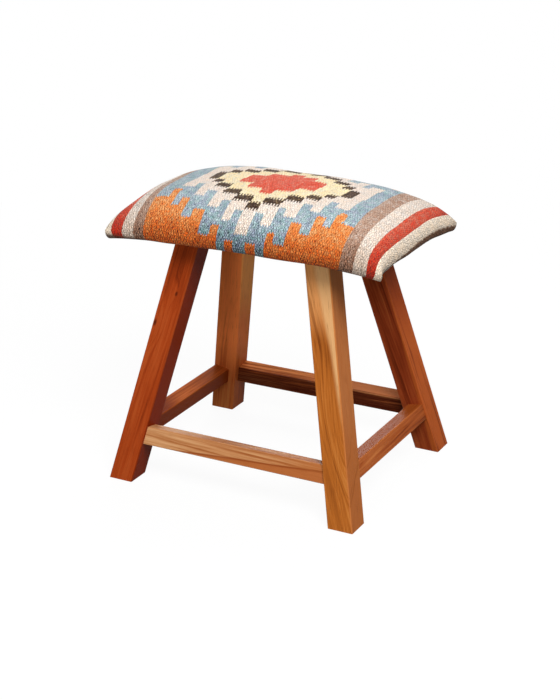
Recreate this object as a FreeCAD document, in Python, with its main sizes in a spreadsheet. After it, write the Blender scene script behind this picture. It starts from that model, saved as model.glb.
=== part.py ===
import FreeCAD, Part
import os
import Sketcher
from FreeCAD import Vector

# Kilim stool in millimetres. The origin lies on the floor under the middle of the seat, +Z is up, +X runs
# along the seat and -Y is its front. Two planes of symmetry: one leg, one long and one short stretcher are
# drawn, in the quarter with X and Y positive, and the others are their mirror images.

# Driving sizes, one cell of the sheet each.
SIZES = {
    # Legs: square stock, splayed along the seat and across it, cut level at the floor and under the board.
    "leg_side": 39,
    "leg_height": 382,
    "foot_spread_x": 375,
    "foot_spread_y": 313,
    "top_spread_x": 208,
    "top_spread_y": 137,
    "leg_arris": 1.5,
    # Stretchers: square to the leaning pair of legs that they join, set back a little from the outer faces.
    "rail_thickness": 25,
    "rail_arris": 1.2,
    "long_rail_height": 28,
    "long_rail_top": 88,
    "long_rail_setback": 3,
    "side_rail_height": 26.5,
    "side_rail_top": 87,
    "side_rail_setback": 2,
    # Stub tenons of the stretchers, the wood between two that meet inside a leg, and the mortises' room.
    "tenon_thickness": 9,
    "tenon_height": 17,
    "tenon_web": 6,
    "tenon_clearance": 0.2,
    "mortise_room": 1,
    # Plywood seat board, inside the seat's edge by its margin, and the stout screw that holds it on each leg.
    "board_margin": 15,
    "board_thickness": 15,
    "board_corner": 35,
    "screw_diameter": 8,
    "screw_head": 16,
    "screw_sink_angle": 90,
    "screw_length": 70,
    "screw_offset": 6,
    "screw_clearance": 0.2,
    "screw_room": 1,
    # Domed seat over the cover. Its crown stays flat along the middle and falls away towards the ends by
    # (1 - share ^ crown_power) ^ crown_root, up to end_share of the way, where the cover turns straight down.
    "seat_length": 441,
    "seat_depth": 277,
    "ear_spread": 6,
    "crown_height": 76,
    "crown_power": 3.17,
    "crown_root": 0.395,
    "end_share": 0.995,
    "shoulder_share": 0.75,
    # Foam block, inside the board's edge by its margin, with its sides cut back by the bevel up to its top,
    # and the wadding over it at the crown.
    "foam_margin": 20,
    "foam_bevel": 24,
    "wadding_crown": 24,
    # Cover and lining, and the gap between the layers of the upholstery.
    "cover_thickness": 3,
    "hem_width": 32,
    "fold_round": 6,
    "layer_gap": 0.3,
    "lining_thickness": 0.8,
    "lining_lap": 14,
    "lining_clearance": 1,
}

# Places of the seat's cross-sections, as shares of its half length, closer together towards either end.
STATION_STEPS = 11
STATION_POWER = 1.6
HALF_STATIONS = [1 - (1 - step / STATION_STEPS) ** STATION_POWER for step in range(1, STATION_STEPS + 1)]
STATIONS = [-share for share in reversed(HALF_STATIONS)] + [0] + HALF_STATIONS
# How sharply the seat's corners flare into ears.
EAR_POWER = 6

doc = FreeCAD.newDocument("kilim_stool")
sheet = doc.addObject("Spreadsheet::Sheet", "Sizes")
for row, (alias, size) in enumerate(SIZES.items(), start=1):
    sheet.set(f"A{row}", alias)
    sheet.set(f"B{row}", str(size))
    sheet.setAlias(f"B{row}", alias)
doc.recompute()

# Sizes that follow from the driving ones: how far a leg comes in per unit of height, its level cross-section,
# and the levels and fits of the seat's layers and screws.
SLOPE = {
    "x": "((Sizes.foot_spread_x - Sizes.top_spread_x) / (2 * Sizes.leg_height))",
    "y": "((Sizes.foot_spread_y - Sizes.top_spread_y) / (2 * Sizes.leg_height))",
}
SECTION = {axis: f"(Sizes.leg_side / cos(atan({slope})))" for axis, slope in SLOPE.items()}
HEM_LEVEL = "(Sizes.leg_height - Sizes.cover_thickness)"
BOARD_TOP = "(Sizes.leg_height + Sizes.board_thickness)"
WADDING_INSET = "(Sizes.cover_thickness + Sizes.layer_gap)"
FOAM_TOP = f"({HEM_LEVEL} + Sizes.crown_height - {WADDING_INSET} - Sizes.wadding_crown)"
INNER_FOLD = "(Sizes.fold_round - Sizes.cover_thickness)"
SCREW_HOLE = "(Sizes.screw_diameter + 2 * Sizes.screw_clearance)"
SCREW_SINK = "(Sizes.screw_head + 2 * Sizes.screw_clearance)"


def value(expression):
    """The number that an expression gives with the sheet as it stands."""
    return float(sheet.evalExpression(expression))


def new_body(name):
    body = doc.addObject("PartDesign::Body", name)
    body.Label = name
    return body


def new_sketch(body, name, role, x="0", y="0", z="0", turn="0"):
    """A sketch on one of the body's origin planes, moved by x, y, z and turned in its own plane."""
    plane = next(feature for feature in body.Origin.OriginFeatures if feature.Role == role)
    sketch = body.newObject("Sketcher::SketchObject", name)
    sketch.AttachmentSupport = [(plane, "")]
    sketch.MapMode = "FlatFace"
    for axis, expression in zip("xyz", (x, y, z)):
        sketch.setExpression(f"AttachmentOffset.Base.{axis}", expression)
    sketch.setExpression("AttachmentOffset.Rotation.Angle", turn)
    return sketch


def bind(sketch, constraint, expression):
    """Adds a dimension and ties it to an expression."""
    index = sketch.addConstraint(constraint)
    sketch.setExpression(f"Constraints[{index}]", expression)


def pin(sketch, geometry, point, x, y):
    """Ties a point of a sketch to its distances from the origin, on whichever side of it they fall."""
    for kind, expression in (("DistanceX", x), ("DistanceY", y)):
        distance = value(expression)
        if distance >= 0:
            bind(sketch, Sketcher.Constraint(kind, -1, 1, geometry, point, distance), expression)
        else:
            bind(sketch, Sketcher.Constraint(kind, geometry, point, -1, 1, -distance), f"-({expression})")


def polygon(sketch, corners):
    """A closed outline of straight lines through corners given as pairs of expressions."""
    points = [Vector(value(x), value(y), 0) for x, y in corners]
    first = sketch.GeometryCount
    count = len(points)
    for i in range(count):
        sketch.addGeometry(Part.LineSegment(points[i], points[(i + 1) % count]), False)
    for i in range(count):
        sketch.addConstraint(Sketcher.Constraint("Coincident", first + i, 2, first + (i + 1) % count, 1))
        pin(sketch, first + i, 1, *corners[i])


def rectangle(sketch, width, height, x="0", y="0"):
    """A rectangle of the given width and height with its middle at x, y."""
    left, right = f"({x} - {width} / 2)", f"({x} + {width} / 2)"
    low, high = f"({y} - {height} / 2)", f"({y} + {height} / 2)"
    polygon(sketch, [(left, low), (right, low), (right, high), (left, high)])


def rounded_rectangle(sketch, width, height, radius, x="0", y="0"):
    """A rectangle with its middle at x, y and its corners rounded."""
    across, up = f"({width} / 2 - {radius})", f"({height} / 2 - {radius})"
    r = value(radius)
    first = sketch.GeometryCount
    signs = ((1, 1), (-1, 1), (-1, -1), (1, -1))
    starts = (Vector(1, 0, 0), Vector(0, 1, 0), Vector(-1, 0, 0), Vector(0, -1, 0))
    corners = [(f"({x} + {sx} * {across})", f"({y} + {sy} * {up})") for sx, sy in signs]
    arcs = []
    for i, (corner_x, corner_y) in enumerate(corners):
        centre = Vector(value(corner_x), value(corner_y), 0)
        start, end = starts[i], starts[(i + 1) % 4]
        arcs.append(Part.Arc(centre + start * r, centre + (start + end).normalize() * r, centre + end * r))
    for i in range(4):
        sketch.addGeometry(arcs[i], False)
    for i in range(4):
        sketch.addGeometry(Part.LineSegment(arcs[i].EndPoint, arcs[(i + 1) % 4].StartPoint), False)
    for i, (corner_x, corner_y) in enumerate(corners):
        arc, line, next_arc = first + i, first + 4 + i, first + (i + 1) % 4
        sketch.addConstraint(Sketcher.Constraint("Tangent", arc, 2, line, 1))
        sketch.addConstraint(Sketcher.Constraint("Tangent", line, 2, next_arc, 1))
        pin(sketch, arc, 3, corner_x, corner_y)
        bind(sketch, Sketcher.Constraint("Radius", arc, r), radius)


def circles(sketch, centres, diameter):
    """Equal circles at centres given as pairs of expressions."""
    for x, y in centres:
        circle = Part.Circle(Vector(value(x), value(y), 0), Vector(0, 0, 1), value(diameter) / 2)
        index = sketch.addGeometry(circle, False)
        pin(sketch, index, 3, x, y)
        bind(sketch, Sketcher.Constraint("Diameter", index, value(diameter)), diameter)


def extrude(kind, body, name, sketch, length, reverse=False, symmetric=False):
    """A pad or a pocket of the sketch, of one length."""
    feature = body.newObject(f"PartDesign::{kind}", name)
    feature.Profile = sketch
    feature.Midplane = symmetric
    feature.Reversed = reverse
    feature.setExpression("Length", length)
    return feature


def rail_place(across, rail):
    """Where a stretcher's middle lies, outwards and upwards, and how far it leans with its pair of legs."""
    lean = f"atan({SLOPE[across]})"
    deep = f"(Sizes.{rail}_setback + Sizes.rail_thickness / 2)"
    half = f"(Sizes.{rail}_height / 2)"
    fall = f"{SLOPE[across]} * Sizes.{rail}_top"
    leg_face = f"(Sizes.foot_spread_{across} / 2 + {SECTION[across]} / 2 - {fall})"
    out = f"({leg_face} - {deep} * cos({lean}) + {half} * sin({lean}))"
    up = f"(Sizes.{rail}_top - {deep} * sin({lean}) - {half} * cos({lean}))"
    return out, up, lean


def leg_inside(along, height):
    """How far from the middle the inner face of a leg lies at a height."""
    return f"(Sizes.foot_spread_{along} / 2 - {SLOPE[along]} * {height} - {SECTION[along]} / 2)"


def tenon_end(along, height, crossing):
    """How far from the middle a tenon ends, short of the crossing stretcher's tenon in the same leg."""
    taken = f"(Sizes.{crossing}_setback + (Sizes.rail_thickness + Sizes.tenon_thickness) / 2)"
    free = f"({SECTION[along]} - {taken} / cos(atan({SLOPE[along]})))"
    return f"({leg_inside(along, height)} + {free} - Sizes.tenon_web)"


def make_leg(name):
    """A leg in the quarter with X and Y positive: a slanted pad of its foot, mortised on both inner faces."""
    body = new_body(name)
    foot = new_sketch(body, "leg_foot", "XY_Plane")
    middle = ("Sizes.foot_spread_x / 2", "Sizes.foot_spread_y / 2")
    rounded_rectangle(foot, SECTION["x"], SECTION["y"], "Sizes.leg_arris", *middle)
    shaft = extrude("Pad", body, "leg_shaft", foot, "Sizes.leg_height")
    shaft.UseCustomVector = True
    shaft.AlongSketchNormal = True
    shaft.setExpression("Direction.x", f"-{SLOPE['x']}")
    shaft.setExpression("Direction.y", f"-{SLOPE['y']}")
    shaft.setExpression("Direction.z", "1")

    cuts = (
        ("long_rail", "side_rail", "YZ_Plane", "y", "x", True),
        ("side_rail", "long_rail", "XZ_Plane", "x", "y", False),
    )
    for rail, crossing, plane, across, along, reverse in cuts:
        out, up, lean = rail_place(across, rail)
        mouth = new_sketch(body, f"{rail}_mortise_mouth", plane, out, up, turn=lean)
        rectangle(
            mouth,
            "(Sizes.tenon_thickness + 2 * Sizes.tenon_clearance)",
            "(Sizes.tenon_height + 2 * Sizes.tenon_clearance)",
        )
        reach = f"{tenon_end(along, up, crossing)} + Sizes.mortise_room"
        extrude("Pocket", body, f"{rail}_mortise", mouth, reach, reverse)

    pilot = new_sketch(body, "leg_pilot_mouth", "XY_Plane", z="Sizes.leg_height")
    circles(pilot, screw_centres(quarters=((1, 1),)), SCREW_HOLE)
    depth = "Sizes.screw_length - Sizes.board_thickness + Sizes.screw_room"
    extrude("Pocket", body, "leg_pilot", pilot, depth)
    return body


def make_rail(name, rail, crossing, plane, other_plane, across, along):
    """A stretcher on the positive side: a leaning bar cut to the legs' faces, with stub tenons."""
    body = new_body(name)
    out, up, lean = rail_place(across, rail)
    section = new_sketch(body, f"{rail}_section", plane, out, up, turn=lean)
    rounded_rectangle(section, "Sizes.rail_thickness", f"Sizes.{rail}_height", "Sizes.rail_arris")
    extrude("Pad", body, f"{rail}_blank", section, f"Sizes.foot_spread_{along}", symmetric=True)

    # The waste beyond the legs' inner faces, from well below the stretcher to well above it
    shoulders = new_sketch(body, f"{rail}_shoulders", other_plane)
    low, high = f"(Sizes.{rail}_top / 4)", f"(Sizes.{rail}_top * 2)"
    for side in ("1", "-1"):
        corners = [
            (f"{side} * {leg_inside(along, low)}", low),
            (f"{side} * Sizes.foot_spread_{along}", low),
            (f"{side} * Sizes.foot_spread_{along}", high),
            (f"{side} * {leg_inside(along, high)}", high),
        ]
        polygon(shoulders, corners)
    waste = extrude("Pocket", body, f"{rail}_shoulder_cut", shoulders, "Sizes.foot_spread_x", symmetric=True)
    waste.Type = "ThroughAll"

    tongue = new_sketch(body, f"{rail}_tenon_section", plane, out, up, turn=lean)
    rectangle(tongue, "Sizes.tenon_thickness", "Sizes.tenon_height")
    extrude("Pad", body, f"{rail}_tenons", tongue, f"2 * {tenon_end(along, up, crossing)}", symmetric=True)
    return body


def make_mirror(name, source, normal):
    """The mirror image of a piece about a plane through the origin."""
    copy = doc.addObject("Part::Mirroring", name)
    copy.Label = name
    copy.Source = source
    copy.Base = Vector(0, 0, 0)
    copy.Normal = normal
    return copy


def screw_centres(quarters=((1, 1), (-1, 1), (-1, -1), (1, -1))):
    """A place over each leg's top, a little outwards because the leg slants away below."""
    x = "(Sizes.top_spread_x / 2 + Sizes.screw_offset)"
    y = "(Sizes.top_spread_y / 2 + Sizes.screw_offset)"
    return [(f"{sx} * {x}", f"{sy} * {y}") for sx, sy in quarters]


def layer_size(inset, room="0"):
    """The length and depth of a layer inside the seat's edge by an inset, with room round a recess for it."""
    return tuple(f"(Sizes.seat_{side} - 2 * {inset} + 2 * {room})" for side in ("length", "depth"))


def board_outline(body, name, room="0"):
    """The board's outline on top of the legs, with room round a recess for it."""
    sketch = new_sketch(body, name, "XY_Plane", z="Sizes.leg_height")
    rounded_rectangle(sketch, *layer_size("Sizes.board_margin", room), f"(Sizes.board_corner + {room})")
    return sketch


def make_board(name):
    """The plywood board with rounded corners, drilled and countersunk for the screws."""
    body = new_body(name)
    outline = board_outline(body, "board_edge")
    extrude("Pad", body, "board_plate", outline, "Sizes.board_thickness")
    mouths = new_sketch(body, "board_screw_mouths", "XY_Plane", z=BOARD_TOP)
    circles(mouths, screw_centres(), SCREW_HOLE)
    doc.recompute()
    holes = body.newObject("PartDesign::Hole", "board_screw_holes")
    holes.Profile = mouths
    holes.DepthType = "ThroughAll"
    holes.HoleCutType = "Countersink"
    holes.setExpression("HoleCutCountersinkAngle", "Sizes.screw_sink_angle")
    holes.setExpression("Diameter", SCREW_HOLE)
    holes.setExpression("HoleCutDiameter", SCREW_SINK)
    return body


def make_screws(name):
    """The countersunk screws, heads level with the board's top: one group of separate solids."""
    body = new_body(name)
    body.AllowCompound = True
    shanks = new_sketch(body, "screw_shank_circles", "XY_Plane", z=BOARD_TOP)
    circles(shanks, screw_centres(), "Sizes.screw_diameter")
    extrude("Pad", body, "screw_shanks", shanks, "Sizes.screw_length", reverse=True)
    tops = new_sketch(body, "screw_head_circles", "XY_Plane", z=BOARD_TOP)
    circles(tops, screw_centres(), "Sizes.screw_head")
    head_depth = "(Sizes.screw_head - Sizes.screw_diameter) / 2 / tan(Sizes.screw_sink_angle / 2)"
    heads = extrude("Pad", body, "screw_heads", tops, head_depth, reverse=True)
    heads.setExpression("TaperAngle", "-Sizes.screw_sink_angle / 2")
    return body


def dome_section(body, name, share, inset, base, fold):
    """A cross-section of the seat: a level base, a fold and a shoulder arc on each side, and a crown arc."""
    flare = abs(share) ** EAR_POWER
    crown = f"({HEM_LEVEL} + Sizes.crown_height - {inset} - {base})"
    fall = f"(Sizes.end_share * {abs(share)}) ^ Sizes.crown_power"
    height = f"({crown} * (1 - {fall}) ^ Sizes.crown_root)"
    half = f"(Sizes.seat_depth / 2 + Sizes.ear_spread * {flare} - {inset})"
    shoulder = f"(Sizes.shoulder_share * ({height} - {fold}))"
    sketch = new_sketch(body, name, "YZ_Plane", y=base, z=f"{share} * (Sizes.seat_length / 2 - {inset})")

    h, b, r, f = value(height), value(half), value(shoulder), value(fold)
    crown_radius = ((b - r) ** 2 + (h - f) ** 2 - r * r) / (2 * (h - f - r))
    crown_centre = Vector(0, h - crown_radius, 0)
    right_centre = Vector(b - r, f, 0)
    join = right_centre + (right_centre - crown_centre).normalize() * r
    bulge = right_centre + Vector(1, 1, 0).normalize() * r
    turn = Vector(b - f, f, 0) + Vector(1, -1, 0).normalize() * f
    flip = lambda point: Vector(-point.x, point.y, 0)
    outline = [
        Part.LineSegment(Vector(f - b, 0, 0), Vector(b - f, 0, 0)),
        Part.Arc(Vector(b - f, 0, 0), turn, Vector(b, f, 0)),
        Part.Arc(Vector(b, f, 0), bulge, join),
        Part.Arc(join, Vector(0, h, 0), flip(join)),
        Part.Arc(flip(join), flip(bulge), Vector(-b, f, 0)),
        Part.Arc(Vector(-b, f, 0), flip(turn), Vector(f - b, 0, 0)),
    ]
    sketch.addGeometry(outline, False)
    sketch.addGeometry(Part.LineSegment(Vector(0, 0, 0), Vector(0, h, 0)), True)
    count = len(outline)
    for i in range(count):
        sketch.addConstraint(Sketcher.Constraint("Tangent", i, 2, (i + 1) % count, 1))
    floor, right_fold, right_shoulder, top, left_shoulder, left_fold, rise = range(count + 1)
    sketch.addConstraint([
        Sketcher.Constraint("PointOnObject", floor, 1, -1),
        Sketcher.Constraint("Symmetric", floor, 1, floor, 2, -1, 1),
        Sketcher.Constraint("Equal", right_fold, left_fold),
        Sketcher.Constraint("Horizontal", right_fold, 3, right_fold, 2),
        Sketcher.Constraint("Horizontal", left_fold, 3, left_fold, 1),
        Sketcher.Constraint("PointOnObject", top, 3, -2),
        Sketcher.Constraint("Coincident", rise, 1, -1, 1),
        Sketcher.Constraint("PointOnObject", rise, 2, -2),
        Sketcher.Constraint("PointOnObject", rise, 2, top),
    ])
    bind(sketch, Sketcher.Constraint("DistanceX", -1, 1, right_fold, 2, b), half)
    bind(sketch, Sketcher.Constraint("Radius", right_fold, f), fold)
    bind(sketch, Sketcher.Constraint("Radius", right_shoulder, r), shoulder)
    bind(sketch, Sketcher.Constraint("DistanceY", -1, 1, rise, 2, h), height)
    return sketch


def dome(kind, body, name, inset, base="Sizes.leg_height", fold=INNER_FOLD):
    """The seat's domed form, drawn in by an inset all round, on a base level and rounded at its foot."""
    sections = []
    for number, share in enumerate(STATIONS, start=1):
        sections.append(dome_section(body, f"{name}_section_{number}", share, inset, base, fold))
    loft = body.newObject(f"PartDesign::{kind}Loft", name)
    loft.Profile = sections[0]
    loft.Sections = sections[1:]
    loft.Ruled = True
    doc.recompute()


def foam_block(kind, body, name, room="0"):
    """The bevelled foam block on the board, or the recess for it: a wedge with its Y axis turned upwards."""
    wedge = body.newObject(f"PartDesign::{kind}Wedge", name)
    wedge.Placement = FreeCAD.Placement(Vector(0, 0, 0), FreeCAD.Rotation(Vector(1, 0, 0), 90))
    wedge.setExpression("Placement.Base.z", BOARD_TOP)
    wedge.setExpression("Ymin", "0")
    wedge.setExpression("Ymax", f"{FOAM_TOP} - {BOARD_TOP} + {room}")
    foot = "(Sizes.board_margin + Sizes.foam_margin)"
    for end, inset in (("", foot), ("2", f"({foot} + Sizes.foam_bevel)")):
        for axis, size in zip("XZ", layer_size(inset, room)):
            wedge.setExpression(f"{axis}{end}min", f"-{size} / 2")
            wedge.setExpression(f"{axis}{end}max", f"{size} / 2")


def make_foam(name):
    """The bevelled foam block that is glued on the board."""
    body = new_body(name)
    foam_block("Additive", body, "foam_block")
    return body


def make_wadding(name):
    """The fibre wadding that rounds the foam into the dome and comes down past the board's edges."""
    body = new_body(name)
    dome("Additive", body, "wadding_dome", WADDING_INSET)
    recess = board_outline(body, "board_recess_edge", "Sizes.layer_gap")
    extrude("Pocket", body, "board_recess", recess, "Sizes.board_thickness", reverse=True)
    foam_block("Subtractive", body, "foam_recess", "Sizes.layer_gap")
    return body


def make_cover(name):
    """The woven cover: the dome as a shell, its ends rounded over, with a hem turned in under the board."""
    body = new_body(name)
    dome("Additive", body, "cover_dome", "0", HEM_LEVEL, "Sizes.fold_round")
    dome("Subtractive", body, "cover_hollow", "Sizes.cover_thickness")
    opening = new_sketch(body, "cover_opening_outline", "XY_Plane", z=HEM_LEVEL)
    rectangle(opening, *layer_size("Sizes.hem_width"))
    extrude("Pocket", body, "cover_opening", opening, "Sizes.cover_thickness", reverse=True)
    return body


def make_lining(name):
    """The thin cloth under the seat: it laps the hem all round and is cut out round the four legs."""
    body = new_body(name)
    outline = new_sketch(body, "lining_outline", "XY_Plane", z=HEM_LEVEL)
    rectangle(outline, *layer_size("(Sizes.hem_width - Sizes.lining_lap)"))
    room = "2 * Sizes.lining_clearance"
    for sx in ("1", "-1"):
        for sy in ("1", "-1"):
            rectangle(
                outline,
                f"({SECTION['x']} + {room})",
                f"({SECTION['y']} + {room})",
                f"{sx} * (Sizes.top_spread_x / 2 + {SLOPE['x']} * Sizes.cover_thickness)",
                f"{sy} * (Sizes.top_spread_y / 2 + {SLOPE['y']} * Sizes.cover_thickness)",
            )
    extrude("Pad", body, "lining_sheet", outline, "Sizes.lining_thickness", reverse=True)
    return body


ALONG_SEAT = Vector(1, 0, 0)
ACROSS_SEAT = Vector(0, 1, 0)
leg_back_right = make_leg("leg_back_right")
leg_front_right = make_mirror("leg_front_right", leg_back_right, ACROSS_SEAT)
stretcher_back = make_rail("stretcher_back", "long_rail", "side_rail", "YZ_Plane", "XZ_Plane", "y", "x")
stretcher_right = make_rail("stretcher_right", "side_rail", "long_rail", "XZ_Plane", "YZ_Plane", "x", "y")
pieces = [
    leg_back_right,
    leg_front_right,
    make_mirror("leg_back_left", leg_back_right, ALONG_SEAT),
    make_mirror("leg_front_left", leg_front_right, ALONG_SEAT),
    stretcher_back,
    make_mirror("stretcher_front", stretcher_back, ACROSS_SEAT),
    stretcher_right,
    make_mirror("stretcher_left", stretcher_right, ALONG_SEAT),
    make_board("seat_board"),
    make_screws("leg_screws"),
    make_foam("foam_pad"),
    make_wadding("wadding"),
    make_cover("kilim_cover"),
    make_lining("underside_lining"),
]
doc.recompute()

failed = [item.Name for item in doc.Objects if {"Invalid", "Error"} & set(item.State)]
if failed:
    raise RuntimeError(f"features that failed: {failed}")
for piece in pieces:
    if piece.Shape.isNull() or not piece.Shape.isValid():
        raise RuntimeError(f"{piece.Label} has no valid shape")

os.makedirs("parts", exist_ok=True)
for piece in pieces:
    piece.Shape.exportStep(f"parts/{piece.Label}.step")
    box = piece.Shape.BoundBox
    print(f"{piece.Label}: {len(piece.Shape.Solids)} solids, {piece.Shape.Volume / 1000:.1f} cm3, "
          f"{box.XLength:.1f} x {box.YLength:.1f} x {box.ZLength:.1f} mm")
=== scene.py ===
import bmesh
import bpy
import math
from mathutils import Matrix, Vector, noise as hills


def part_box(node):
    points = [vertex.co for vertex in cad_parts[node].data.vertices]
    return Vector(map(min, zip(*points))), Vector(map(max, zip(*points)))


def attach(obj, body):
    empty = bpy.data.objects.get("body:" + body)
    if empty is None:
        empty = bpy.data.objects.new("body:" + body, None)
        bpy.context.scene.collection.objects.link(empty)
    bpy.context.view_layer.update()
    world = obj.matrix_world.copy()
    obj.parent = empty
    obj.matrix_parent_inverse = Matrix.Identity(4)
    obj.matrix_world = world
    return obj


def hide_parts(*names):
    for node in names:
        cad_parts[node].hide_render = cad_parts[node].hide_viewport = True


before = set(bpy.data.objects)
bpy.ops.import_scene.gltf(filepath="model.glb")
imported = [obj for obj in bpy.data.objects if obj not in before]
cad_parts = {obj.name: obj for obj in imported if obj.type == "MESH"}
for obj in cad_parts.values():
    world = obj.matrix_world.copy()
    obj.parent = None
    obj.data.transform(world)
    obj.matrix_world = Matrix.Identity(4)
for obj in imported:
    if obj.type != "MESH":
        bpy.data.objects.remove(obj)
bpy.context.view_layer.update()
MM = 0.001

# Legs
# Four square legs of solid hardwood, splayed along the seat and across it, sawn level at both ends.
# Each comes from its own plank, from red heartwood to golden wood with a strip of pale sapwood,
# and all are sanded and oiled to a satin finish. On three legs a face or an upper part is painted
# lighter or darker as painted light and painted shade.

LEG_HEIGHT = 382 * MM
LEG_SIDE = 39 * MM
FOOT_X, FOOT_Y = 187.5 * MM, 156.5 * MM
TOP_X, TOP_Y = 104 * MM, 68.5 * MM
LEAN_X = (FOOT_X - TOP_X) / LEG_HEIGHT
LEAN_Y = (FOOT_Y - TOP_Y) / LEG_HEIGHT


def dye(red, green, blue):
    """A colour as seen on a screen, from 0 to 255, turned into the shader's own scale."""
    shares = [value / 255 for value in (red, green, blue)]
    return [s / 12.92 if s <= 0.04045 else ((s + 0.055) / 1.055) ** 2.4 for s in shares] + [1]


class Shade:
    """A socket in a material, so that shader maths reads as plain expressions."""

    def __init__(self, tree, socket):
        self.tree = tree
        self.socket = socket

    def feed(self, node, sockets):
        """Sets a node's sockets, each to a value or by a link."""
        for name, given in sockets.items():
            if isinstance(given, Shade):
                self.tree.links.new(given.socket, node.inputs[name])
            else:
                node.inputs[name].default_value = given

    def node(self, kind, settings, sockets, out=0):
        """Adds a node: its settings first, a ramp's stops among them, then what its sockets get."""
        made = self.tree.nodes.new(kind)
        for name, setting in settings.items():
            if name == "stops":
                elements = made.color_ramp.elements
                elements.remove(elements[1])
                for position, colour in setting[1:]:
                    elements.new(position).color = colour
                elements[0].position, elements[0].color = setting[0]
            elif name == "interpolation":
                made.color_ramp.interpolation = setting
            else:
                setattr(made, name, setting)
        self.feed(made, sockets)
        return Shade(self.tree, made.outputs[out])

    def parts(self):
        """The three numbers of a vector."""
        first = self.node("ShaderNodeSeparateXYZ", {}, {0: self})
        return [Shade(self.tree, out) for out in first.socket.node.outputs]

    def maths(self, operation, *given):
        return self.node("ShaderNodeMath", {"operation": operation}, dict(enumerate(given)))

    def floor(self):
        return self.maths("FLOOR", self)

    def __add__(self, other):
        return self.maths("ADD", self, other)

    def __radd__(self, other):
        return self.maths("ADD", other, self)

    def __sub__(self, other):
        return self.maths("SUBTRACT", self, other)

    def __rsub__(self, other):
        return self.maths("SUBTRACT", other, self)

    def __mul__(self, other):
        return self.maths("MULTIPLY", self, other)

    def __rmul__(self, other):
        return self.maths("MULTIPLY", other, self)

    def __truediv__(self, other):
        return self.maths("DIVIDE", self, other)

    def __pow__(self, other):
        return self.maths("POWER", self, other)

    def __mod__(self, other):
        return self.maths("FLOORED_MODULO", self, other)

    def __abs__(self):
        return self.maths("ABSOLUTE", self)

    def __gt__(self, other):
        return self.maths("GREATER_THAN", self, other)

    def __lt__(self, other):
        return self.maths("LESS_THAN", self, other)


def new_finish(name):
    """A new material, its shader and its object coordinates."""
    finish = bpy.data.materials.new(name)
    finish.use_nodes = True
    tree = finish.node_tree
    place = Shade(tree, None).node("ShaderNodeTexCoord", {}, {}, "Object")
    return finish, tree.nodes["Principled BSDF"], place


def vector(x, y, z):
    return x.node("ShaderNodeCombineXYZ", {}, {0: x, 1: y, 2: z})


def noise(at, scale, detail=2, roughness=0.5):
    sockets = {"Vector": at, "Scale": scale, "Detail": detail, "Roughness": roughness}
    return at.node("ShaderNodeTexNoise", {}, sockets)


def rise(value, low, high):
    """0 below low, 1 above high, and a smooth step between."""
    settings = {"interpolation_type": "SMOOTHSTEP"}
    return value.node("ShaderNodeMapRange", settings, {"Value": value, "From Min": low, "From Max": high})


def mixed(share, first, second):
    """Two colours mixed, by a share of the second."""
    return share.node("ShaderNodeMix", {"data_type": "RGBA"}, {0: share, 6: first, 7: second}, 2)


def bumped(height, distance, strength):
    return height.node("ShaderNodeBump", {}, {"Height": height, "Distance": distance, "Strength": strength})


KNOT = dye(66, 22, 10)
KNOT_SHARES = (1, 1, 0.55)
KNOT_PUSH = 0.45
WORN_FROM, WORN_TO = 2.6 * MM, 0.6 * MM


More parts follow.
